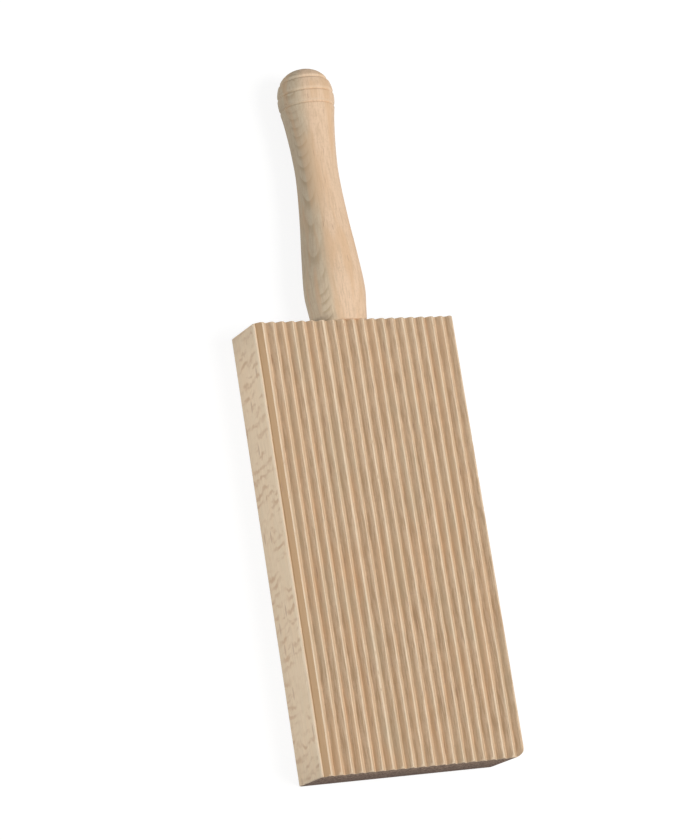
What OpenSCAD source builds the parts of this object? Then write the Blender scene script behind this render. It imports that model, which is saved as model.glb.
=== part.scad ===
// Ridged gnocchi board with a turned handle, in beech.
// The board lies flat with its ridges up. X runs across the ridges, Y runs along them towards
// the handle, and Z is up. The origin is under the middle of the whole length, on the flat back.
// All sizes are in millimetres.

/* [Board] */
// Width across the ridges
board_w = 60; // [50:1:80]
// Length without the handle
board_l = 124; // [100:1:160]
// Thickness up to the tips of the ridges
board_t = 16.2; // [15:0.1:20]
// Radius of the one worn corner, at the far end on the right
worn_corner_r = 2.6; // [1.5:0.1:4]
// Radius of the other three corners
corner_r = 0.5; // [0.3:0.1:1.5]
// Width of the light bevel on the long lower edges and the end edges
arris = 0.5; // [0.2:0.1:1]

/* [Ridges] */
// Distance from one ridge to the next
ridge_pitch = 3.025; // [2.5:0.025:4]
// Depth of the grooves between the ridges
groove_depth = 1.5; // [1:0.1:2]
// Width of the flat left along the tip of each ridge
crest_flat = 0.2; // [0.1:0.05:0.5]
// Width of the narrow flat along the bottom of each groove
root_flat = 0.1; // [0.1:0.05:0.5]
// Distance from the left side to the bottom of the first groove, which that side cuts through
first_root = 0.8; // [0.6:0.05:1.1]

/* [Handle] */
// Length from the board to the tip of the knob
handle_l = 74.7; // [72:0.1:90]
// Radius of the butt that meets the board
butt_r = 7.55; // [7:0.05:8]
// Radius of the swell just behind the butt
swell_r = 8.5; // [8.2:0.05:9]
// Radius of the waist
waist_r = 6.05; // [5.8:0.05:7]
// Radius of the knob
knob_r = 7.95; // [7.6:0.05:8.2]
// Distance that the hole for the handle sits left of the middle of the board
handle_offset = 0.6; // [0:0.1:1]
// Gap under the handle's swell when the board lies on a table
table_gap = 0.05; // [0.05:0.05:0.5]

/* [Scored rings] */
// Width of each ring scored round the knob
ring_w = 0.7; // [0.4:0.1:1]
// Depth of each ring
ring_depth = 0.35; // [0.2:0.05:0.5]

/* [Dowel] */
// Diameter of the dowel
dowel_d = 8; // [6:0.5:8]
// Length of the dowel
dowel_l = 48; // [40:1:50]
// Room left for glue at each end of the dowel
glue_room = 1; // [0.5:0.5:2]
// Number of flutes that let the glue out
flutes = 18; // [12:1:24]

/* [Hidden] */
$fn = 96;

beech = "burlywood";
beech_handle = "tan";
beech_dowel = "wheat";

total_l = board_l + handle_l;
far_y = -total_l / 2;
joint_y = far_y + board_l;
handle_x = -handle_offset;
handle_z = swell_r + table_gap;

// How far a cutting shape runs past the surface that it cuts
cut_over = 1;

// Only whole grooves fit on the right, so the last ridge reaches the right side
groove_w = ridge_pitch - crest_flat;
groove_count = 1 + floor((board_w - first_root - groove_w / 2) / ridge_pitch);

drill_half_angle = 59;
hole_depth = dowel_l / 2 + glue_room;
drill_point_h = dowel_d / 2 / tan(drill_half_angle);
dowel_bevel = 0.8;
flute_r = 0.35;
flute_sides = 24;

// Where the radius is set along the handle, as distances from the board
flare_y = 4;
swell_y = 10;
swell_end_y = 20;
taper_y = 31;
waist_y = 43;
waist_end_y = 51;
knob_start_y = 59;
dome_l = 8.8;
knob_y = handle_l - dome_l;
// How much the radius differs there from the nearest named radius
flare_rise = 0.45;
swell_fall = 0.7;
taper_rise = 0.7;
waist_rise = 0.25;
knob_fall = 0.9;
// Slope of the side where it leaves the board
butt_slope = 0.16;

// Stations along the handle, as [distance, radius]
stations = [
    [0, butt_r],
    [flare_y, butt_r + flare_rise],
    [swell_y, swell_r],
    [swell_end_y, swell_r - swell_fall],
    [taper_y, waist_r + taper_rise],
    [waist_y, waist_r],
    [waist_end_y, waist_r + waist_rise],
    [knob_start_y, knob_r - knob_fall],
    [knob_y, knob_r]
];
last_station = len(stations) - 1;
// Distances of the three scored rings from the tip of the knob
ring_backs = [11.5, 7.8, 3.9];
steps_per_span = 5;
dome_steps = 16;
tip_r = 0.4;

// Slope of the handle's side at station i: level where the knob's dome begins
function slope(i) = i == 0 ? butt_slope
    : i == last_station ? 0
    : (stations[i + 1][1] - stations[i - 1][1]) / (stations[i + 1][0] - stations[i - 1][0]);

// Radius part way through span i, on a cubic curve that keeps the slopes at both its ends
function span_radius(i, t) =
    let (
        run = stations[i + 1][0] - stations[i][0],
        t2 = t * t,
        t3 = t2 * t
    )
    (2 * t3 - 3 * t2 + 1) * stations[i][1]
    + (t3 - 2 * t2 + t) * run * slope(i)
    + (3 * t2 - 2 * t3) * stations[i + 1][1]
    + (t3 - t2) * run * slope(i + 1);

// Side of the handle from the butt to the knob
side_points = [
    for (i = [0 : last_station - 1], k = [0 : steps_per_span - 1])
        let (t = k / steps_per_span)
        [span_radius(i, t), stations[i][0] + t * (stations[i + 1][0] - stations[i][0])]
];

// A quarter of an ellipse closes the knob, down to a small flat at the tip. The exponent in its
// formula is a little over 2, which makes the dome blunter.
dome_exponent = 2.3;
dome_power = 2 / dome_exponent;
dome_end = acos(pow(tip_r / knob_r, 1 / dome_power));
dome_points = [
    for (k = [0 : dome_steps])
        let (a = dome_end * k / dome_steps)
        [knob_r * pow(cos(a), dome_power), knob_y + dome_l * pow(sin(a) / sin(dome_end), dome_power)]
];

// Radius of the handle's side at a distance y from the board
function surface_radius(y) = y <= knob_y
    ? lookup(y, [for (p = side_points) [p[1], p[0]]])
    : lookup(y, [for (p = dome_points) [p[1], p[0]]]);

// Section of one groove, with its root at x = 0 and its mouth at y = 0
module groove_section() {
    polygon([
        [-groove_w / 2, cut_over],
        [-groove_w / 2, 0],
        [-root_flat / 2, -groove_depth],
        [root_flat / 2, -groove_depth],
        [groove_w / 2, 0],
        [groove_w / 2, cut_over]
    ]);
}

// Section of the board, with the grooves cut from its top edge
module board_section() {
    difference() {
        polygon([
            [-board_w / 2 + arris, 0],
            [board_w / 2 - arris, 0],
            [board_w / 2, arris],
            [board_w / 2, board_t],
            [-board_w / 2, board_t],
            [-board_w / 2, arris]
        ]);
        for (i = [0 : groove_count - 1])
            translate([-board_w / 2 + first_root + i * ridge_pitch, board_t])
                groove_section();
    }
}

// One corner of the board seen from above, as the piece that is cut away
module corner_waste(x_side, y_side, r) {
    translate([x_side * board_w / 2, y_side * board_l / 2])
        difference() {
            translate([x_side * (cut_over - r) / 2, y_side * (cut_over - r) / 2])
                square(r + cut_over, center = true);
            translate([-x_side * r, -y_side * r])
                circle(r);
        }
}

// Outline of the board seen from above
module board_outline() {
    difference() {
        square([board_w, board_l], center = true);
        corner_waste(1, -1, worn_corner_r);
        corner_waste(-1, -1, corner_r);
        corner_waste(1, 1, corner_r);
        corner_waste(-1, 1, corner_r);
    }
}

// Outline of the board seen from the side, with both ends lightly bevelled underneath
module board_side() {
    polygon([
        [-board_l / 2 + arris, 0],
        [board_l / 2 - arris, 0],
        [board_l / 2, arris],
        [board_l / 2, board_t],
        [-board_l / 2, board_t],
        [-board_l / 2, arris]
    ]);
}

// Drilled hole with a pointed bottom, from its mouth along +Z
module drilled_hole() {
    cylinder(h = hole_depth, d = dowel_d);
    translate([0, 0, hole_depth])
        cylinder(h = drill_point_h, d1 = dowel_d, d2 = 0);
}

// Puts a shape that is modelled along +Z on the handle's axis, from the joint towards the knob
module on_handle_axis() {
    translate([handle_x, joint_y, handle_z])
        rotate([-90, 0, 0])
            children();
}

module ridged_board() {
    color(beech)
        difference() {
            translate([0, far_y + board_l / 2, 0])
                intersection() {
                    translate([0, board_l / 2, 0])
                        rotate([90, 0, 0])
                            linear_extrude(board_l)
                                board_section();
                    linear_extrude(board_t)
                        board_outline();
                    translate([-board_w / 2, 0, 0])
                        rotate([90, 0, 90])
                            linear_extrude(board_w)
                                board_side();
                }
            on_handle_axis()
                mirror([0, 0, 1])
                    drilled_hole();
        }
}

// Waste of one scored ring: a shallow V turned round the axis
module ring_waste(y) {
    r = surface_radius(y);
    translate([0, 0, y])
        rotate_extrude()
            polygon([
                [r - ring_depth, 0],
                [r + ring_depth, -ring_w],
                [r + ring_depth, ring_w]
            ]);
}

module turned_handle() {
    color(beech_handle)
        on_handle_axis()
            difference() {
                rotate_extrude()
                    polygon(concat([[0, 0]], side_points, dome_points, [[0, handle_l]]));
                for (back = ring_backs)
                    ring_waste(handle_l - back);
                drilled_hole();
            }
}

module fluted_dowel() {
    color(beech_dowel)
        on_handle_axis()
            translate([0, 0, -dowel_l / 2])
                difference() {
                    rotate_extrude()
                        polygon([
                            [0, 0],
                            [dowel_d / 2 - dowel_bevel, 0],
                            [dowel_d / 2, dowel_bevel],
                            [dowel_d / 2, dowel_l - dowel_bevel],
                            [dowel_d / 2 - dowel_bevel, dowel_l],
                            [0, dowel_l]
                        ]);
                    for (i = [0 : flutes - 1])
                        rotate([0, 0, i * 360 / flutes])
                            translate([dowel_d / 2, 0, -cut_over])
                                cylinder(h = dowel_l + 2 * cut_over, r = flute_r, $fn = flute_sides);
                }
}

ridged_board();
turned_handle();
fluted_dowel();
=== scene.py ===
# %% [markdown]
# # A ridged gnocchi board in beech
#
# This lesson dresses a imported model of a gnocchi board: a plank with V-shaped ridges, a turned
# handle and the dowel that joins them. The imported model gives exact places and sizes. The board
# and the handle are then worked out again with numpy, with the small irregularities that real wood
# has, and each piece gets a beech material made of nodes.
#
# The frame: X runs across the ridges, Y runs along them towards the handle, and Z is up. Blender
# works in metres. The sizes below are in millimetres, because that is how a maker thinks, and
# they are turned into metres at the last moment.

import math

import bmesh
import bpy
import numpy as np
from mathutils import Matrix, Vector, geometry


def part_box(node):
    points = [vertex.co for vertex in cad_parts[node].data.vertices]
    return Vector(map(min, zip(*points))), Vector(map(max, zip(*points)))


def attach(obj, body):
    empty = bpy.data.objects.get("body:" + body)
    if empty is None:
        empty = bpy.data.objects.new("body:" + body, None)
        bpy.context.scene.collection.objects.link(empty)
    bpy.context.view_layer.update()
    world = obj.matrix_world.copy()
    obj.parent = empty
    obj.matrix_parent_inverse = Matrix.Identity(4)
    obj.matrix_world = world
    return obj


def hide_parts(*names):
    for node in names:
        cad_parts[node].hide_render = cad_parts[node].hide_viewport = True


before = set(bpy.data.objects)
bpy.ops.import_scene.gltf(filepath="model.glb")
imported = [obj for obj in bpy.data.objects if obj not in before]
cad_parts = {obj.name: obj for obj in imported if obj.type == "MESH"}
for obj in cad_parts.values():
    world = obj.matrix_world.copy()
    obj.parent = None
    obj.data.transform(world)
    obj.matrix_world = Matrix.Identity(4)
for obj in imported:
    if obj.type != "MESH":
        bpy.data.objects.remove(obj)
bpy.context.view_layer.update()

MM = 0.001
board_low, board_high = [np.array(corner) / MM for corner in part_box("ridged_board")]
handle_low, handle_high = [np.array(corner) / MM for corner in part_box("turned_handle")]
dowel_low, dowel_high = [np.array(corner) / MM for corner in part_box("fluted_dowel")]
print("board from", board_low.round(2), "to", board_high.round(2))
print("handle from", handle_low.round(2), "to", handle_high.round(2))

# %% [markdown]
# ## Sizes that every piece shares
#
# The board and the handle meet in one plane, the joint. The axis of the handle is the axis of
# its dowel, which lies a little left of the middle of the board.

# %% Shared sizes
joint_y = board_high[1]
axis_x = (dowel_low[0] + dowel_high[0]) / 2
axis_z = (dowel_low[2] + dowel_high[2]) / 2
dowel_r = (dowel_high[2] - dowel_low[2]) / 2
hole_depth = (dowel_high[1] - dowel_low[1]) / 2 + 1
drill_angle = math.radians(59)
rng = np.random.default_rng(20)
print("handle axis at x", round(axis_x, 2), "z", round(axis_z, 2), "mm")


# %% [markdown]
# ## Turning a grid of points into a mesh
#
# Most surfaces here are a grid: one direction runs round a section, the other along the grain.
# `grid_faces` numbers the four corners of each little face from the shape of the grid alone, so
# there is no loop over points.

# %% Grids
def grid_faces(rows, columns, closed=False):
    """Corner numbers of the faces of a grid: point (i, j) has number i * columns + j.
    With closed, the last column joins the first."""
    i = np.arange(rows - 1)[:, None]
    j = np.arange(columns if closed else columns - 1)[None, :]
    k = (j + 1) % columns
    corners = [i * columns + j, i * columns + k, (i + 1) * columns + k, (i + 1) * columns + j]
    return np.stack([np.broadcast_to(c, (rows - 1, j.size)) for c in corners], axis=-1).reshape(-1, 4)


def make_mesh(name, parts, merge_mm=1e-4):
    """One mesh from several (points in mm, faces, smooth) parts, with doubled points merged."""
    mesh = bpy.data.meshes.new(name)
    points = np.concatenate([part[0] for part in parts]) * MM
    starts = np.cumsum([0] + [len(part[0]) for part in parts])
    faces = [np.asarray(part[1]) + start for part, start in zip(parts, starts)]
    mesh.from_pydata(points, [], [face for group in faces for face in group.tolist()])
    smooth = np.concatenate([np.full(len(part[1]), part[2]) for part in parts])
    mesh.polygons.foreach_set("use_smooth", smooth)
    shape = bmesh.new()
    shape.from_mesh(mesh)
    bmesh.ops.remove_doubles(shape, verts=shape.verts, dist=merge_mm * MM)
    bmesh.ops.dissolve_degenerate(shape, edges=shape.edges, dist=1e-9)
    bmesh.ops.recalc_face_normals(shape, faces=shape.faces)
    open_edges = sum(1 for edge in shape.edges if len(edge.link_faces) != 2)
    shape.to_mesh(mesh)
    shape.free()
    mesh.set_sharp_from_angle(angle=math.radians(50))
    print(name, len(mesh.vertices), "points", len(mesh.polygons), "faces", open_edges, "open edges")
    return mesh


def make_piece(mesh, material, node):
    """An object at the origin that stands for a CAD node and rides on its body."""
    piece = bpy.data.objects.new(mesh.name, mesh)
    bpy.context.scene.collection.objects.link(piece)
    mesh.materials.append(material)
    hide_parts(node)
    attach(piece, "root")
    return piece


# %% [markdown]
# ## Smooth noise for shapes
#
# A sum of a few sine waves with random phases is a cheap smooth noise. It gives the slow wander
# of a cutter and the uneven wear of an edge.

# %% Shape noise
def wander(position, length_mm, seed, waves=5):
    """Sum of sine waves with random phases, about -1 to 1, over position in mm."""
    dice = np.random.default_rng(seed)
    phases = dice.uniform(0, 2 * np.pi, waves)
    lengths = length_mm * dice.uniform(0.6, 1.8, waves)
    position = np.asarray(position, dtype=float)
    return sum(np.sin(2 * np.pi * position / l + p) for l, p in zip(lengths, phases)) / waves**0.5


# %% [markdown]
# ## The ridged board
#
# A row of V cutters ploughs all the grooves of such a board in one pass, so every section across
# it is nearly the same: V grooves about 3 mm apart, whose flanks nearly meet in sharp tips. No
# row of cutters is perfect, so a few grooves sit a little off their places, and the flat left
# between two of them is then wider or narrower than the next. The left side of the board was
# sawn through the first groove, so its edge lies below the tips.

# %% The grooves
ridge_pitch = 3.025
groove_depth = 1.5
tip_flat = 0.12
root_flat = 0.05
first_root = 0.78
board_top = board_high[2]
half_w = board_high[0]
far_y = board_low[1]
board_l = joint_y - far_y

half_groove = (ridge_pitch - tip_flat) / 2
steepness = groove_depth / (half_groove - root_flat / 2)
groove_count = 1 + int((2 * half_w - first_root - half_groove) / ridge_pitch)
root_x = -half_w + first_root + ridge_pitch * np.arange(groove_count)
root_x[1:-1] += rng.normal(0, 0.03, groove_count - 2)
strays = {1: 0.18, 2: 0.06, 6: -0.06, 7: 0.12, 14: -0.07, 18: 0.05}
for groove, stray in strays.items():
    root_x[groove] += stray
groove_tip_x = (root_x[1:] + root_x[:-1]) / 2
print(groove_count, "grooves,", round(math.degrees(math.atan(steepness)), 1), "degree flanks")

# %% [markdown]
# The height of the ridged face is the lowest of three shapes. One is the row of V grooves, with
# their corners a little softened, as a cutter leaves them. The second is wear: here and there a
# tip has lost a small chip. The third is a shallow slope at each end, where sandpaper took off
# the sharp edge. Where the slope meets a ridge, its flat spreads out like a small fan.

# %% Height of the ridged face
def softened_ramp(v, width):
    """Zero below v = 0 and v above it, with the bend rounded over width."""
    return 0.5 * (v + np.sqrt(v * v + width * width))


def groove_height(x, y):
    """Height across the grooves: each flank falls straight from the tip's flat to the root's.
    Depth wavers slowly along the board."""
    nearest = np.abs(x[..., None] - root_x).argmin(axis=-1)
    aside = np.abs(x - root_x[nearest])
    fall = softened_ramp(half_groove - aside, 0.025) - softened_ramp(root_flat / 2 - aside, 0.025)
    deep = 1 + 0.02 * wander(y + 37 * nearest, 45, 5)
    return board_top - steepness * fall * deep


def chipped_height(x, y):
    """Height that the chips leave on the tips: short dips where a slow noise peaks."""
    tip = np.abs(x[..., None] - groove_tip_x).argmin(axis=-1)
    chip = np.clip(wander(y + 53 * tip, 4.5, 8) - 1.25, 0, None)
    return board_top - 0.02 - 0.25 * chip


def sanded_height(x, y):
    """Height of the sanded slopes at both ends, rising to the face over about a millimetre."""
    far_run = 0.75 + 0.25 * wander(x, 5, 11)
    joint_run = 0.55 + 0.15 * wander(x, 4, 12)
    far_drop = 0.52 * np.clip(far_run - (y - far_y), 0, None)
    joint_drop = 0.5 * np.clip(joint_run - (joint_y - y), 0, None)
    return board_top - np.maximum(far_drop, joint_drop)


def ridge_height(x, y):
    """The lowest of the grooves, the chipped tips and the sanded slopes."""
    worn = np.minimum(chipped_height(x, y), sanded_height(x, y))
    return np.minimum(groove_height(x, y), worn)


# %% [markdown]
# The section is a closed loop: across the ridges, down the right side, back along the flat
# underside and up the left side. The loop is repeated along the board. Near the ends it is
# pulled in from the sides by the formula of a circle, which rounds the corners: by 2.6 mm at the
# worn corner, and less at the others. Heights are worked out after that, so the ridges run
# straight into the rounded corner.

# %% Stations along the board and points across it
worn_corner = 2.6
sharp_corner = 0.3
eased_corner = 0.5
arris = 0.3
edge_round = 0.18
left_ease_in = 0.48
left_ease_down = 0.6


def pulled_in(distance, radius):
    """How far a rounded corner of that radius is pulled in, at a distance from the end."""
    u = np.clip(1 - distance / radius, 0, 1)
    return radius * (1 - np.sqrt(1 - u * u))


rounding = edge_round * (1 - np.cos(np.linspace(0, np.pi / 2, 4)))
near_end = np.concatenate([rounding, np.linspace(0.3, 3.0, 19), np.linspace(3.4, 6, 6)])
half_run = np.concatenate([near_end, np.arange(6.5, board_l / 2, 0.6)])
station_y = np.concatenate([far_y + half_run, joint_y - half_run[::-1]])
from_far = station_y - far_y
from_joint = joint_y - station_y

flank_share = np.array([0.03, 0.055, 0.09, 0.4, 0.7, 0.94, 0.975, 1.0])
in_groove = half_groove * np.concatenate([-flank_share[::-1], flank_share])
groove_points = (root_x[:, None] + in_groove[None, :]).ravel()
top_x = np.sort(np.concatenate([groove_points, groove_tip_x]))
top_x = top_x[(top_x > -half_w + left_ease_in + 0.02) & (top_x < half_w - 0.02)]
top_x = np.concatenate([[-half_w + left_ease_in], top_x, [half_w]])

left_in = np.maximum(pulled_in(from_far, sharp_corner), pulled_in(from_joint, eased_corner))
right_in = np.maximum(pulled_in(from_far, worn_corner), pulled_in(from_joint, eased_corner))
end_in = np.maximum(pulled_in(from_far, edge_round), pulled_in(from_joint, edge_round))
bend = 0.04 * wander(station_y, 60, 3)


# %% [markdown]
# The left upper edge is eased more than the rest: it is the light line along the left of the
# ridged face. The loop gets a few more points there, which follow a quarter of an ellipse.

# %% The board's skin
def loop_side(top_z, edge_x, turn_to, ease_in, ease_down, steps=12):
    """Points from the top edge of one side down to the underside: an eased quarter ellipse,
    a straight side, and a small rounded arris. turn_to is 1 on the right and -1 on the left."""
    quarter = np.linspace(0, np.pi / 2, 5)[None, 1:]
    ease_x = edge_x - turn_to * ease_in * (1 - np.sin(quarter))
    ease_z = top_z - ease_down * (1 - np.cos(quarter))
    down = np.linspace(0, 1, steps)[None, 1:]
    straight_z = ease_z[:, -1:] * (1 - down) + arris * down
    straight_x = edge_x + 0 * straight_z
    under_x = edge_x - turn_to * arris * (1 - np.cos(quarter)) + 0 * top_z
    under_z = arris * (1 - np.sin(quarter)) + 0 * top_z
    xs = np.concatenate([ease_x + 0 * top_z, straight_x, under_x], axis=1)
    zs = np.concatenate([ease_z, straight_z, under_z], axis=1)
    return xs, zs


def board_skin():
    """Points of the board's skin, one row for each station along the grain."""
    y = station_y[:, None]
    left = (-half_w + left_in + end_in)[:, None]
    right = (half_w - right_in - end_in)[:, None]
    share = top_x[None, :] / half_w
    outer = np.sign(share) * np.clip((np.abs(share) - 0.8) / 0.2, 0, 1) ** 2
    x_top = top_x[None, :] - outer * (half_w - np.where(share > 0, right, -left))
    x_top = x_top + bend[:, None] * (1 - share**6)
    z_top = ridge_height(x_top - bend[:, None], y + 0 * x_top) - end_in[:, None]
    x_right, z_right = loop_side(z_top[:, -1:], right, 1, 0.0, 0.12)
    x_left, z_left = loop_side(z_top[:, :1], left, -1, left_ease_in, left_ease_down)
    flat = np.linspace(1, -1, 17)[None, 1:-1]
    x_base = (left + right) / 2 + flat * ((right - left) / 2 - arris)
    z_base = 0 * x_base
    xs = np.concatenate([x_top, x_right, x_base, x_left[:, ::-1]], axis=1)
    zs = np.concatenate([z_top, z_right, z_base, z_left[:, ::-1]], axis=1)
    zs = zs + end_in[:, None] * np.clip(1 - zs / arris, 0, 1)
    return np.stack([xs, y + 0 * xs, zs], axis=-1)


skin = board_skin()
rows, columns = skin.shape[:2]
print("skin of the board:", rows, "stations of", columns, "points")

# %% [markdown]
# The ends are flat. The outline of each end is filled with triangles. At the handle's end the
# fill leaves a round hole, and the wall of the drilled hole and its pointed bottom grow from the
# same circle, so that the board is one closed solid.

# %% Ends and the drilled hole
hole_sides = 64
turn = np.linspace(0, 2 * np.pi, hole_sides, endpoint=False)
hole_rim = np.stack([axis_x + dowel_r * np.cos(turn), axis_z + dowel_r * np.sin(turn)], axis=1)


def filled_end(outline, y, hole=None):
    """Triangles that fill an outline in the plane at y, less an optional hole inside it."""
    loops = [outline] if hole is None else [outline, hole]
    starts = np.cumsum([0] + [len(loop) for loop in loops])
    numbers = [list(range(start, start + len(loop))) for start, loop in zip(starts, loops)]
    flat_points = [Vector(point) for point in np.concatenate(loops)]
    result = geometry.delaunay_2d_cdt(flat_points, [], numbers, 2, 1e-7)
    filled = np.array([(v.x, y, v.y) for v in result[0]])
    return filled, np.array(result[2])


def hole_wall(y_mouth, y_sign):
    """Wall and pointed bottom of a drilled hole, as rings about the handle's axis."""
    point = dowel_r / math.tan(drill_angle)
    depth = np.array([0, 0.25, 0.5, 0.75, 1]) * hole_depth
    depth = np.append(depth, [hole_depth + point / 2, hole_depth + point])
    radius = np.array([1, 1, 1, 1, 1, 0.5, 0]) * dowel_r
    xs = axis_x + radius[:, None] * np.cos(turn)
    zs = axis_z + radius[:, None] * np.sin(turn)
    ys = y_mouth + y_sign * depth[:, None] + 0 * xs
    points = np.stack([xs, ys, zs], axis=-1).reshape(-1, 3)
    return points, grid_faces(len(depth), hole_sides, closed=True)


far_cap, far_faces = filled_end(skin[0][:, [0, 2]], far_y)
joint_cap, joint_faces = filled_end(skin[-1][:, [0, 2]], joint_y, hole_rim)
wall_points, wall_faces = hole_wall(joint_y, -1)
board_mesh = make_mesh(
    "board_wood",
    [
        (skin.reshape(-1, 3), grid_faces(rows, columns, closed=True), True),
        (far_cap, far_faces, False),
        (joint_cap, joint_faces, False),
        (wall_points, wall_faces, True),
    ],
)

# %% [markdown]
# The beech of one board doesn't look the same everywhere. End grain is darker than the rest, the
# sawn sides show the rays of the wood as wavy flecks, and edges worn by sandpaper or a hand are
# paler. Some marks are painted light: a painted highlight on the tips of the ridges, and painted
# shade down the grooves and on the first groove's flank. A material can only tell these surfaces
# apart if the mesh says which is which, so a number for each of them is stored on the corners of
# the faces.

# %% Which surface is which
# How far below the tips their painted highlight reaches: further on the flanks that face right,
# towards the key lamp.
tip_highlight_left = 0.1
tip_highlight_right = 0.4


def mark_board(mesh):
    """Stores groove_depth (0 on the tips to 1 at the roots) and a share of 0 to 1 for each of
    the other surfaces."""
    points = np.empty(len(mesh.vertices) * 3)
    mesh.vertices.foreach_get("co", points)
    points = points.reshape(-1, 3) / MM
    corners = np.empty(len(mesh.loops), dtype=np.int32)
    mesh.loops.foreach_get("vertex_index", corners)
    facing = np.empty(len(mesh.polygons) * 3)
    mesh.polygons.foreach_get("normal", facing)
    sizes = np.empty(len(mesh.polygons), dtype=np.int32)
    mesh.polygons.foreach_get("loop_total", sizes)
    facing = np.repeat(facing.reshape(-1, 3), sizes, axis=0)
    x, y, z = points[corners].T
    sideways, endways = np.abs(facing[:, 0]), np.abs(facing[:, 1])
    at_end = (np.minimum(y - far_y, joint_y - y) < 1.6) & (endways > 0.2) & (endways < 0.97)
    at_left = (x < root_x[0] - 0.05) & (facing[:, 2] > 0.15)
    # The first groove's left-facing flank, which gets painted shade.
    shaded_first_flank = (x > root_x[0] - 0.05) & (x < groove_tip_x[0] + 0.02) & (facing[:, 0] < -0.2)
    ridged = facing[:, 2] > 0.2
    tip_highlight_reach = np.where(facing[:, 0] > 0.2, tip_highlight_right, tip_highlight_left)
    whole_tip = ridged & (x < half_w - tip_highlight_right)
    numbers = {
        "groove_depth": np.clip((board_top - z) / groove_depth, 0, 1) * ridged,
        # Painted highlight: pale on the tips.
        "tip_highlight": np.clip(1 - (board_top - z) / tip_highlight_reach, 0, 1) * whole_tip,
        "shaded_first_flank": (shaded_first_flank & ridged) * 1.0,
        "end_grain": (endways > 0.97) * 1.0,
        "sawn_side": (sideways > 0.97) * 1.0,
        "planed_back": (facing[:, 2] < -0.9) * 1.0,
        "rubbed_and_highlight": np.maximum(at_left * 0.6, at_end * 0.35),
    }
    for label, value in numbers.items():
        mesh.attributes.new(label, "FLOAT", "CORNER").data.foreach_set("value", value)
        print(label, "on", int((value > 0).sum()), "corners")


mark_board(board_mesh)

# %% [markdown]
# ## The turned handle
#
# A spindle is turned between centres, so its shape is one profile swept round an axis. The
# stations are the radii that a turner would mark with callipers: butt, swell, waist and knob. A
# cubic curve joins them and keeps the slope from one span to the next. The dome of the knob is an
# ellipse with an exponent a little over 2, which makes it blunter.
#
# No handle is set in dead straight. This one leans half a degree to the right, and its butt sits
# a third of a millimetre to the left of the hole.

# %% The profile
handle_l = handle_high[1] - joint_y
swell_r = (handle_high[2] - handle_low[2]) / 2
butt_r = 7.55
waist_r = 6.05
knob_r = 7.95
knob_s = 65.9
station_s = np.array([0, 4, 10, 20, 31, 43, 51, 59, knob_s])
station_r = np.array(
    [butt_r, butt_r + 0.45, swell_r, swell_r - 0.7, waist_r + 0.7, waist_r, waist_r + 0.25,
     knob_r - 0.9, knob_r]
)
slopes = np.zeros(station_s.size)
slopes[0] = 0.16
slopes[1:-1] = (station_r[2:] - station_r[:-2]) / (station_s[2:] - station_s[:-2])
dome_exponent = 2.3
ring_s = np.array([63.2, 66.9, 70.8])
ring_depth = 0.45
ring_half = 0.5
ring_slope = 0.8
axis_shift = -0.35
axis_lean = 0.009


def side_radius(s):
    """Radius at a distance s from the joint: a cubic through the stations, then a blunt
    ellipse."""
    i = np.clip(np.searchsorted(station_s, s, side="right") - 1, 0, station_s.size - 2)
    run = station_s[i + 1] - station_s[i]
    t = np.clip((s - station_s[i]) / run, 0, 1)
    rising = 3 * t**2 - 2 * t**3
    curve = (1 - rising) * station_r[i] + rising * station_r[i + 1]
    curve += (t**3 - 2 * t**2 + t) * run * slopes[i] + (t**3 - t**2) * run * slopes[i + 1]
    over = np.clip((s - knob_s) / (handle_l - knob_s), 0, 1)
    dome = knob_r * (1 - over**dome_exponent) ** (1 / dome_exponent)
    return np.where(s > knob_s, dome, curve)


def ring_cut(s):
    """Depth of the scored rings at a distance s: a steep wall on the side of the joint, and a
    longer slope up to the knob's tip."""
    past = s[:, None] - ring_s[None, :]
    reach = np.where(past > 0, ring_slope, ring_half)
    return (ring_depth * np.clip(1 - np.abs(past) / reach, 0, 1) ** 1.2).sum(axis=1)


# %% The handle's surface
dome_angle = np.linspace(0, np.pi / 2, 40)
dome_s = knob_s + (handle_l - knob_s) * np.sin(dome_angle)
ring_fine = (ring_s[:, None] + np.linspace(-ring_half - 0.05, ring_slope + 0.05, 19)).ravel()
side_s = np.concatenate([np.linspace(0.3, knob_s, 130), dome_s, ring_fine])
side_s = np.unique(np.round(side_s, 4))
side_s[-1] = handle_l
profile_r = side_radius(side_s) - ring_cut(side_s)
profile_r[-1] = 0
profile_s = side_s
butt_ease = np.array([[butt_r - 0.25, 0.0], [butt_r - 0.08, 0.08]])
profile_r = np.concatenate([[dowel_r], butt_ease[:, 0], profile_r])
profile_s = np.concatenate([[0], butt_ease[:, 1], profile_s])

handle_sides = 160


def turned(radius, distance, middle_x):
    """Rings of points about an axis at middle_x, from radii and distances from the joint."""
    angle = np.linspace(0, 2 * np.pi, handle_sides, endpoint=False)
    xs = middle_x[:, None] + radius[:, None] * np.cos(angle)
    zs = axis_z + radius[:, None] * np.sin(angle)
    ys = joint_y + distance[:, None] + 0 * xs
    return np.stack([xs, ys, zs], axis=-1).reshape(-1, 3)


point_l = dowel_r / math.tan(drill_angle)
bore_r = np.array([0, 0.5, 1, 1, 1, 1]) * dowel_r
bore_s = np.array([hole_depth + point_l, hole_depth + point_l / 2, hole_depth, 16, 8, 0])
outer_r, outer_s = profile_r[1:], profile_s[1:]
outer_x = axis_x + axis_shift + axis_lean * outer_s
handle_r = np.concatenate([bore_r, outer_r])
handle_s = np.concatenate([bore_s, outer_s])
handle_x = np.concatenate([axis_x + 0 * bore_s, outer_x])
handle_mesh = make_mesh(
    "handle_wood",
    [(turned(handle_r, handle_s, handle_x),
      grid_faces(len(handle_r), handle_sides, closed=True), True)],
)


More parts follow.
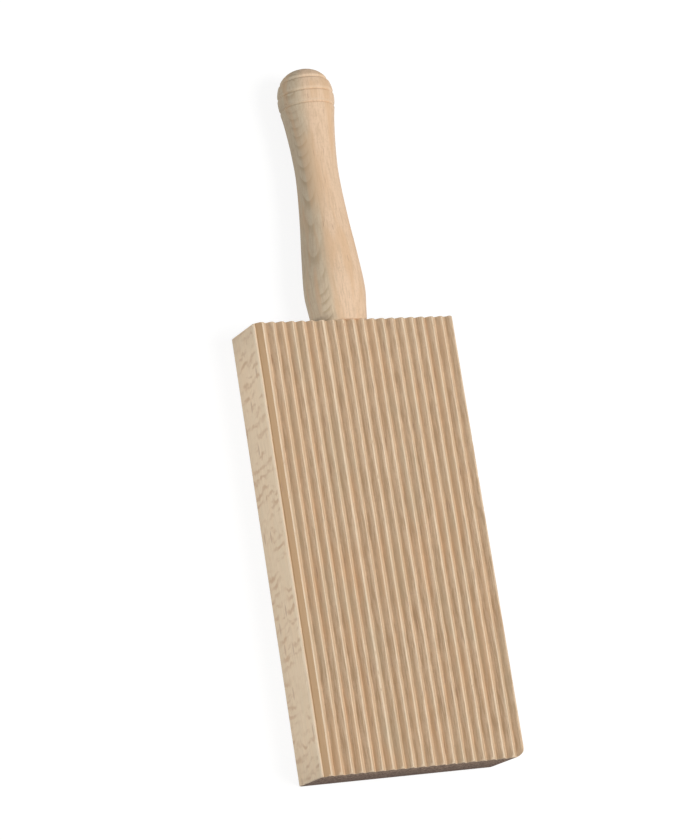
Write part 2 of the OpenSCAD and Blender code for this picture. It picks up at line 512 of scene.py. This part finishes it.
def mark_rings(mesh):
    """Stores rubbed on the longer slope of each scored ring, a painted highlight where the key lamp
    lights that slope: most in the middle of the slope, and 0 at both its edges."""
    points = np.empty(len(mesh.vertices) * 3)
    mesh.vertices.foreach_get("co", points)
    past = points.reshape(-1, 3)[:, 1:2] / MM - joint_y - ring_s
    polished = 1 - np.abs(2 * past / ring_slope - 1)
    rubbed_and_highlight = 0.35 * np.clip(polished, 0, 1).max(axis=1)
    mesh.attributes.new("rubbed_and_highlight", "FLOAT", "POINT").data.foreach_set("value", rubbed_and_highlight)
    print("rubbed on", int((rubbed_and_highlight > 0).sum()), "points of the rings")


mark_rings(handle_mesh)


# %% [markdown]
# ## Beech
#
# Beech is pale and close-grained. Three things make it look like beech and not like plain
# plastic: faint growth layers, fine fibre lines along the grain, and short dark flecks, which
# are the ends of its rays. All of them are patterns in space, read from Object coordinates, so
# they run through the wood and change from long streaks on the sides to rings on the ends.

# %% Node helpers
def add_node(tree, kind, **settings):
    """A node of that kind. Settings that name an input set it, the others set the node."""
    made = tree.nodes.new(kind)
    for key, value in settings.items():
        setattr(made, key, value)
    return made


def value_of(tree, operation, a, b=None, c=None, clamp=False):
    """A Math node. Each of a, b and c is a number or another node's output."""
    made = add_node(tree, "ShaderNodeMath", operation=operation, use_clamp=clamp)
    for socket, source in zip(made.inputs, (a, b, c)):
        if source is None:
            continue
        if isinstance(source, (int, float)):
            socket.default_value = source
        else:
            tree.links.new(source, socket)
    return made.outputs[0]


def stretched(tree, source, scale, move=(0, 0, 0), turn=(0, 0, 0)):
    """Coordinates moved, turned and scaled by a Mapping node."""
    made = add_node(tree, "ShaderNodeMapping")
    made.inputs["Scale"].default_value = scale
    made.inputs["Location"].default_value = move
    made.inputs["Rotation"].default_value = turn
    tree.links.new(source, made.inputs["Vector"])
    return made.outputs[0]


def noise(tree, source, scale, detail=3.0, roughness=0.5):
    """A noise pattern from 0 to 1 over the given coordinates."""
    made = add_node(tree, "ShaderNodeTexNoise")
    made.inputs["Scale"].default_value = scale
    made.inputs["Detail"].default_value = detail
    made.inputs["Roughness"].default_value = roughness
    tree.links.new(source, made.inputs["Vector"])
    return made.outputs["Fac"]


def between(tree, source, low, high):
    """0 below low, 1 above high and a smooth step between them."""
    made = add_node(tree, "ShaderNodeMapRange", interpolation_type="SMOOTHSTEP", clamp=True)
    made.inputs["From Min"].default_value = low
    made.inputs["From Max"].default_value = high
    tree.links.new(source, made.inputs["Value"])
    return made.outputs["Result"]


def tinted(tree, base, tint, amount, blend="MIX"):
    """The base colour blended with a tint by an amount. Both colours may be outputs."""
    made = add_node(tree, "ShaderNodeMix", data_type="RGBA", blend_type=blend)
    for socket, source in ((made.inputs[6], base), (made.inputs[7], tint), (made.inputs[0], amount)):
        if isinstance(source, (tuple, float, int)):
            socket.default_value = source if not isinstance(source, tuple) else (*source, 1)[:4]
        else:
            tree.links.new(source, socket)
    return made.outputs[2]


# %% [markdown]
# Growth layers are rings round the pith of the tree. In the board the pith lies far below, so
# the layers run nearly along the ridged face. In the handle they lean a little against the
# axis, and where the swell cuts through them they show as nested arcs, like the contour lines
# of a hill.

# %% Growth layers
def attribute_value(tree, name):
    """A number stored on the mesh. It is 0 on a mesh that doesn't have it."""
    return add_node(tree, "ShaderNodeAttribute", attribute_name=name).outputs["Fac"]


def ring_distance(tree, mm, pith, lean, waver):
    """Distance in mm from the line through pith = (x, z), plus lean * y and a slow waver."""
    slow = noise(tree, stretched(tree, mm, (0.05, 0.012, 0.05)), 1.0, 2.0)
    split = add_node(tree, "ShaderNodeSeparateXYZ")
    tree.links.new(mm, split.inputs[0])
    dx = value_of(tree, "SUBTRACT", split.outputs["X"], pith[0])
    dz = value_of(tree, "SUBTRACT", split.outputs["Z"], pith[1])
    square = value_of(tree, "MULTIPLY_ADD", dx, dx, value_of(tree, "MULTIPLY", dz, dz))
    leaning = value_of(tree, "MULTIPLY_ADD", split.outputs["Y"], lean, value_of(tree, "SQRT", square))
    return value_of(tree, "MULTIPLY_ADD", slow, waver, leaning)


def facing_share(tree, mm, direction):
    """How squarely the surface of the handle faces a direction: 1 where it faces it, 0 at right
    angles. It is the cosine of the angle round the axis."""
    flat = add_node(tree, "ShaderNodeVectorMath", operation="SUBTRACT")
    tree.links.new(stretched(tree, mm, (1, 0, 1)), flat.inputs[0])
    flat.inputs[1].default_value = (axis_x, 0, axis_z)
    unit = add_node(tree, "ShaderNodeVectorMath", operation="NORMALIZE")
    tree.links.new(flat.outputs[0], unit.inputs[0])
    share = add_node(tree, "ShaderNodeVectorMath", operation="DOT_PRODUCT")
    tree.links.new(unit.outputs[0], share.inputs[0])
    share.inputs[1].default_value = (direction[0], 0, direction[1])
    return share.outputs["Value"]


def late_wood(tree, distance, layer_w):
    """0 in early wood, rising to 1 at the dark line that ends each growth layer."""
    phase = value_of(tree, "FRACT", value_of(tree, "DIVIDE", distance, layer_w))
    rising = between(tree, phase, 0.4, 0.85)
    falling = between(tree, phase, 0.9, 1.0)
    return value_of(tree, "SUBTRACT", rising, falling)


# %% [markdown]
# The rays of beech are thin ribbons that run outwards from the pith. A cut along the layers
# meets them edge on, and shows dark dashes a few millimetres long. A cut across the layers,
# like the board's sides, shows them flat on, as wavy flecks across the thickness that gather in
# some places.

# %% Rays
def dashes(tree, mm, scale, share):
    """Dark marks at the middles of a share of the cells of a stretched Voronoi pattern."""
    cells = add_node(tree, "ShaderNodeTexVoronoi", feature="F1")
    cells.inputs["Scale"].default_value = 1.0
    tree.links.new(stretched(tree, mm, scale), cells.inputs["Vector"])
    near = value_of(tree, "SUBTRACT", 1.0, between(tree, cells.outputs["Distance"], 0.16, 0.36))
    pick = add_node(tree, "ShaderNodeSeparateColor")
    tree.links.new(cells.outputs["Color"], pick.inputs[0])
    chosen = between(tree, pick.outputs[0], 1 - share, 1 - share * 0.6)
    return value_of(tree, "MULTIPLY", near, chosen)


def flecks(tree, mm):
    """Wavy flecks through the thickness: waves along the grain, bent by one noise and broken
    into strokes by another. They gather in patches."""
    split = add_node(tree, "ShaderNodeSeparateXYZ")
    tree.links.new(mm, split.inputs[0])
    bend = noise(tree, stretched(tree, mm, (0.1, 0.11, 0.2), (5, 1, 9)), 1.0, 2.0, 0.6)
    tilted = value_of(tree, "MULTIPLY_ADD", split.outputs["Z"], -0.1, split.outputs["Y"])
    along = value_of(tree, "MULTIPLY_ADD", bend, 7.0, tilted)
    wave = value_of(tree, "SINE", value_of(tree, "MULTIPLY", along, 2 * math.pi / 2.9))
    strokes = noise(tree, stretched(tree, mm, (0.2, 0.35, 0.13), (2, 4, 6)), 1.0, 2.0, 0.6)
    patches = noise(tree, stretched(tree, mm, (0.05, 0.06, 0.09), (3, 8, 2)), 1.0, 1.0)
    gathered = value_of(tree, "MULTIPLY_ADD", between(tree, patches, 0.42, 0.58), 0.75, 0.25)
    crest = between(tree, wave, -0.7, 1.0)
    broken = value_of(tree, "MULTIPLY", crest, between(tree, strokes, 0.40, 0.62))
    return value_of(tree, "MULTIPLY", broken, gathered)


# %% [markdown]
# The wood's colour is built up in layers, as a painter would glaze it: pale wood, then growth
# layers, then fibres, slow changes of hue, rays, and at last the surfaces that the mesh marks.
# Some layers are painted light: painted shade in the grooves, on the first flank, low on the ends
# and on the handle's left side, the board painted paler towards the handle, and painted
# highlights on the tips and the rings.

# %% The beech material
def beech(name, grain, colours):
    """A beech material. grain gives the run of the layers, colours the tones of the wood."""
    material = bpy.data.materials.new(name)
    material.use_nodes = True
    tree = material.node_tree
    tree.nodes.clear()
    place = add_node(tree, "ShaderNodeTexCoord").outputs["Object"]
    mm = stretched(tree, place, (1000, 1000, 1000))

    def glaze(under, tint, amount, strength):
        """The colour under, covered with a tint by amount * strength."""
        return tinted(tree, under, colours[tint], value_of(tree, "MULTIPLY", amount, strength))

    distance = ring_distance(tree, mm, grain["pith"], grain["lean"], grain["waver"])
    late = late_wood(tree, distance, grain["layer_w"])
    fibre = noise(tree, stretched(tree, mm, (2.3, 0.16, 2.3)), 1.0, 4.0, 0.6)
    fine = noise(tree, stretched(tree, mm, (8.0, 0.5, 8.0)), 1.0, 3.0, 0.6)
    mottle = noise(tree, stretched(tree, mm, (1.5, 1.5, 0.5)), 1.0, 3.0, 0.6)
    warm_patch = noise(tree, stretched(tree, mm, (0.30, 0.035, 0.30), (7, 3, 11)), 1.0, 2.0)
    grey_patch = noise(tree, stretched(tree, mm, (0.22, 0.05, 0.22), (31, 17, 5)), 1.0, 2.0)
    ray = dashes(tree, mm, grain["dash_scale"], grain["dash_share"])
    side = attribute_value(tree, "sawn_side")
    ends = attribute_value(tree, "end_grain")
    fleck = value_of(tree, "MULTIPLY", flecks(tree, mm), side)
    pores = noise(tree, stretched(tree, mm, (2.2, 2.2, 1.5)), 1.0, 3.0, 0.7)
    pore_share = value_of(tree, "MULTIPLY", between(tree, pores, 0.38, 0.60), ends)
    rubbed_and_highlight = value_of(tree, "MULTIPLY", attribute_value(tree, "rubbed_and_highlight"), between(tree, fine, 0.1, 0.4))

    # Painted shade: the handle's side that faces left, away from the key lamp, is glazed grey.
    zone = between(tree, facing_share(tree, mm, grain["shaded_faces"]), *grain["shade_zone"])
    colour = glaze(colours["pale"], "grey", zone, 0.8)
    arcs = between(tree, facing_share(tree, mm, grain["layers_face"]), *grain["arc_zone"])
    uneven = value_of(tree, "MULTIPLY", arcs, between(tree, grey_patch, 0.38, 0.58))
    line_depth = value_of(tree, "MULTIPLY_ADD", uneven, grain["zone_depth"], grain["layer_depth"])
    colour = glaze(colour, "line", late, line_depth)
    planed = value_of(tree, "MULTIPLY_ADD", attribute_value(tree, "planed_back"), -0.5, 1.0)
    streaks = value_of(tree, "MULTIPLY", between(tree, fibre, 0.42, 0.64), planed)
    colour = glaze(colour, "deep", streaks, grain["fibre_depth"])
    colour = glaze(colour, "deep", between(tree, mottle, 0.45, 0.75), 0.3)
    colour = glaze(colour, "warm", between(tree, warm_patch, 0.48, 0.66), 0.6)
    colour = glaze(colour, "grey", between(tree, grey_patch, 0.50, 0.68), grain["grey_depth"])
    # Painted shade: the flanks are glazed darker the deeper they lie in a groove, and a little less at
    # the very root, which the lamps' shading darkens by itself.
    depth = attribute_value(tree, "groove_depth")
    at_root = between(tree, depth, 0.7, 1.0)
    cut = value_of(tree, "MULTIPLY_ADD", at_root, -0.45, between(tree, depth, 0.0, 0.55))
    colour = glaze(colour, "cut", cut, 0.36)
    split = add_node(tree, "ShaderNodeSeparateXYZ")
    tree.links.new(mm, split.inputs[0])
    # Painted light: the board is glazed paler towards the handle, as if lit more at that end.
    colour = glaze(colour, "pale", between(tree, split.outputs["Y"], -80.0, 25.0), grain["painted_light_to_handle"])
    # Painted highlight: the tips are glazed pale, reaching further down the flanks that face the key
    # lamp.
    colour = glaze(colour, "rubbed_and_highlight", attribute_value(tree, "tip_highlight"), 0.6)
    # Painted shade: the flank of the first groove is glazed dark brown.
    colour = glaze(colour, "flank", attribute_value(tree, "shaded_first_flank"), 0.85)
    colour = glaze(colour, "sawn", side, 0.7)
    colour = glaze(colour, "ray", ray, 0.5)
    colour = glaze(colour, "fleck", fleck, 0.85)
    colour = glaze(colour, "ends", ends, 0.7)
    colour = glaze(colour, "line", value_of(tree, "MULTIPLY", late, ends), 0.3)
    colour = glaze(colour, "pores_and_shade", pore_share, 0.85)
    # Painted shade: the ends are glazed darker towards the floor.
    high = between(tree, split.outputs["Z"], 0.0, 16.0)
    end_shade_near_floor = value_of(tree, "MULTIPLY", value_of(tree, "SUBTRACT", 1.0, high), ends)
    colour = glaze(colour, "pores_and_shade", end_shade_near_floor, 0.5)
    # Pale marks: the board's eased left edge and sanded ends, and a painted highlight on the long
    # slopes of the handle's rings.
    colour = glaze(colour, "rubbed_and_highlight", rubbed_and_highlight, 0.8)

    shader = add_node(tree, "ShaderNodeBsdfPrincipled")
    shader.inputs["Specular IOR Level"].default_value = 0.14
    tree.links.new(colour, shader.inputs["Base Color"])
    rough = value_of(tree, "MULTIPLY_ADD", fibre, 0.2, 0.5)
    rough = value_of(tree, "MULTIPLY_ADD", ends, 0.3, rough)
    tree.links.new(rough, shader.inputs["Roughness"])
    bump = add_node(tree, "ShaderNodeBump")
    bump.inputs["Strength"].default_value = 0.3
    bump.inputs["Distance"].default_value = 0.0001
    height = value_of(tree, "MULTIPLY_ADD", fine, 0.8, value_of(tree, "MULTIPLY", ray, -0.8))
    tree.links.new(height, bump.inputs["Height"])
    tree.links.new(bump.outputs[0], shader.inputs["Normal"])
    out = add_node(tree, "ShaderNodeOutputMaterial")
    tree.links.new(shader.outputs[0], out.inputs["Surface"])
    return material


# %% [markdown]
# Three woods from the same recipe. The run of the layers and the spacing of the marks differ, as
# they would between three pieces of one tree. The painted light differs too: the board is painted
# paler towards the handle, and the handle gets painted shade on its left side.

# %% The three woods
wood_tones = {
    "pale": (0.83, 0.64, 0.455),
    "deep": (0.58, 0.415, 0.265),
    "warm": (0.76, 0.51, 0.31),
    "grey": (0.64, 0.53, 0.375),
    "line": (0.50, 0.36, 0.22),
    # Painted shade: the next tone darkens the flanks down in the grooves.
    "cut": (0.52, 0.37, 0.235),
    # Painted shade: the next tone darkens the first groove's flank.
    "flank": (0.52, 0.33, 0.18),
    "sawn": (0.81, 0.65, 0.47),
    "ray": (0.45, 0.29, 0.21),
    "fleck": (0.60, 0.41, 0.27),
    "ends": (0.60, 0.42, 0.325),
    # Besides the dots of the end grain, the next tone paints shade low on the ends.
    "pores_and_shade": (0.16, 0.11, 0.097),
    # Besides worn edges, the next tone paints highlights on the tips and the handle's rings.
    "rubbed_and_highlight": (0.93, 0.80, 0.62),
}
# The handle's grey tone also paints shade on its left side.
handle_tones = {**wood_tones, "pale": (0.855, 0.625, 0.44), "grey": (0.70, 0.59, 0.43)}
never = (2, 3)
upwards = (0, 1)
board_grain = {
    "pith": (-5, -110), "lean": 0.0, "waver": 8.0, "layer_w": 3.4, "layer_depth": 0.12,
    "dash_scale": (2.4, 0.16, 0.6), "dash_share": 0.12, "layers_face": upwards,
    "arc_zone": never, "zone_depth": 0.0, "shaded_faces": upwards,
    "shade_zone": never, "grey_depth": 0.45, "fibre_depth": 1.0, "painted_light_to_handle": 0.16,
}
facing_layers = Vector((-0.84, 0.54)).normalized()
pith_away = 60
handle_pith = Vector((axis_x, axis_z)) - facing_layers * pith_away
handle_grain = {
    "pith": tuple(handle_pith), "lean": 0.17, "waver": 1.2, "layer_w": 0.65, "layer_depth": 0.04,
    "dash_scale": (2.2, 0.16, 2.2), "dash_share": 0.10, "layers_face": tuple(facing_layers),
    # The grey zone is painted shade on the handle's left side.
    "arc_zone": (0.91, 0.985), "zone_depth": 0.65, "shaded_faces": (-0.97, 0.24),
    "shade_zone": (0.52, 0.86), "grey_depth": 0.1, "fibre_depth": 0.4, "painted_light_to_handle": 0.0,
}
dowel_grain = {
    "pith": (14, -40), "lean": 0.03, "waver": 2.0, "layer_w": 1.6, "layer_depth": 0.2,
    "dash_scale": (2.2, 0.16, 2.2), "dash_share": 0.08, "layers_face": upwards,
    "arc_zone": never, "zone_depth": 0.0, "shaded_faces": upwards,
    "shade_zone": never, "grey_depth": 0.6, "fibre_depth": 0.75, "painted_light_to_handle": 0.0,
}
board_beech = beech("beech_board", board_grain, wood_tones)
handle_beech = beech("beech_handle", handle_grain, handle_tones)
dowel_beech = beech("beech_dowel", dowel_grain, wood_tones)

board_piece = make_piece(board_mesh, board_beech, "ridged_board")
handle_piece = make_piece(handle_mesh, handle_beech, "turned_handle")
dowel_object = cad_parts["fluted_dowel"]
dowel_object.data.materials.clear()
dowel_object.data.materials.append(dowel_beech)

# %% [markdown]
# ## The floor, the lamps and the camera
#
# The board lies on a plain white floor that fills the picture. A large warm lamp stands at the
# upper right, and the sky gives a cool fill, mostly from the left.

# %% The floor
floor_size = 6.0
floor_mesh = bpy.data.meshes.new("floor")
corner = floor_size / 2
floor_mesh.from_pydata(
    [(-corner, -corner, 0), (corner, -corner, 0), (corner, corner, 0), (-corner, corner, 0)],
    [], [(0, 1, 2, 3)],
)
floor = bpy.data.objects.new("floor", floor_mesh)
floor.location.z = -0.0002
bpy.context.scene.collection.objects.link(floor)
floor_paint = bpy.data.materials.new("white_floor")
floor_paint.use_nodes = True
tree = floor_paint.node_tree
tree.nodes.clear()
matt = add_node(tree, "ShaderNodeBsdfDiffuse")
matt.inputs["Color"].default_value = (0.18, 0.18, 0.18, 1)
glow = add_node(tree, "ShaderNodeEmission")
ray_kinds = add_node(tree, "ShaderNodeLightPath").outputs
bent = value_of(tree, "MAXIMUM", ray_kinds["Is Glossy Ray"], ray_kinds["Is Transmission Ray"])
looked_at = value_of(tree, "MAXIMUM", ray_kinds["Is Camera Ray"], bent)
glow_power = value_of(tree, "MULTIPLY", looked_at, 0.88)
tree.links.new(glow_power, glow.inputs["Strength"])
both = add_node(tree, "ShaderNodeAddShader")
tree.links.new(matt.outputs[0], both.inputs[0])
tree.links.new(glow.outputs[0], both.inputs[1])
dull = add_node(tree, "ShaderNodeBsdfDiffuse")
dull.inputs["Color"].default_value = (0.35, 0.35, 0.35, 1)
chosen = add_node(tree, "ShaderNodeMixShader")
tree.links.new(looked_at, chosen.inputs[0])
tree.links.new(dull.outputs[0], chosen.inputs[1])
tree.links.new(both.outputs[0], chosen.inputs[2])
out = add_node(tree, "ShaderNodeOutputMaterial")
tree.links.new(chosen.outputs[0], out.inputs["Surface"])
floor_mesh.materials.append(floor_paint)

# %% The lamps
def area_lamp(name, place, power, size, colour):
    """A square lamp at a place in metres that faces the board."""
    data = bpy.data.lights.new(name, "AREA")
    data.energy = power
    data.size = size
    data.color = colour
    lamp = bpy.data.objects.new(name, data)
    lamp.location = place
    lamp.rotation_euler = Vector(place).to_track_quat("Z", "Y").to_euler()
    bpy.context.scene.collection.objects.link(lamp)
    return lamp


area_lamp("key_lamp", (0.66, -0.25, 1.34), 17.0, 0.8, (1.0, 0.97, 0.93))
area_lamp("fill_lamp", (-1.4, 0.2, 0.42), 5.0, 0.8, (0.93, 0.98, 1.0))

side_data = bpy.data.lights.new("side_lamp", "SPOT")
side_data.energy = 4.25
side_data.shadow_soft_size = 0.015
side_data.spot_size = math.radians(12.6)
side_data.spot_blend = 0.05
side_lamp = bpy.data.objects.new("side_lamp", side_data)
side_lamp.location = (-0.63, -0.0374, 0.026)
side_aim = side_lamp.location - Vector((-0.03, -0.0374, 0.008))
side_lamp.rotation_euler = side_aim.to_track_quat("Z", "Y").to_euler()
bpy.context.scene.collection.objects.link(side_lamp)

world = bpy.data.worlds.new("studio")
bpy.context.scene.world = world
world.use_nodes = True
sky = world.node_tree.nodes["Background"]
sky.inputs["Color"].default_value = (0.95, 0.97, 1.0, 1)
sky.inputs["Strength"].default_value = 0.3

# %% The camera
camera_data = bpy.data.cameras.new("camera")
camera_data.sensor_fit = "AUTO"
camera_data.sensor_width = 36
camera_data.lens = 140.6
camera_data.clip_start = 0.01
camera = bpy.data.objects.new("camera", camera_data)
bpy.context.scene.collection.objects.link(camera)
bpy.context.scene.camera = camera
camera_place = Vector((-0.3924, -0.19725, 0.7914))
camera_target = Vector((-0.00208, -0.00184, 0.008))
camera_roll = math.radians(9.013)

look = (camera_target - camera_place).normalized()
level_right = look.cross(Vector((0, 1, 0))).normalized()
level_up = level_right.cross(look)
right = level_right * math.cos(camera_roll) - level_up * math.sin(camera_roll)
up = level_up * math.cos(camera_roll) + level_right * math.sin(camera_roll)
turned_axes = Matrix((right, up, -look)).transposed().to_4x4()
camera.matrix_world = Matrix.Translation(camera_place) @ turned_axes
bpy.context.scene.view_settings.view_transform = "Standard"
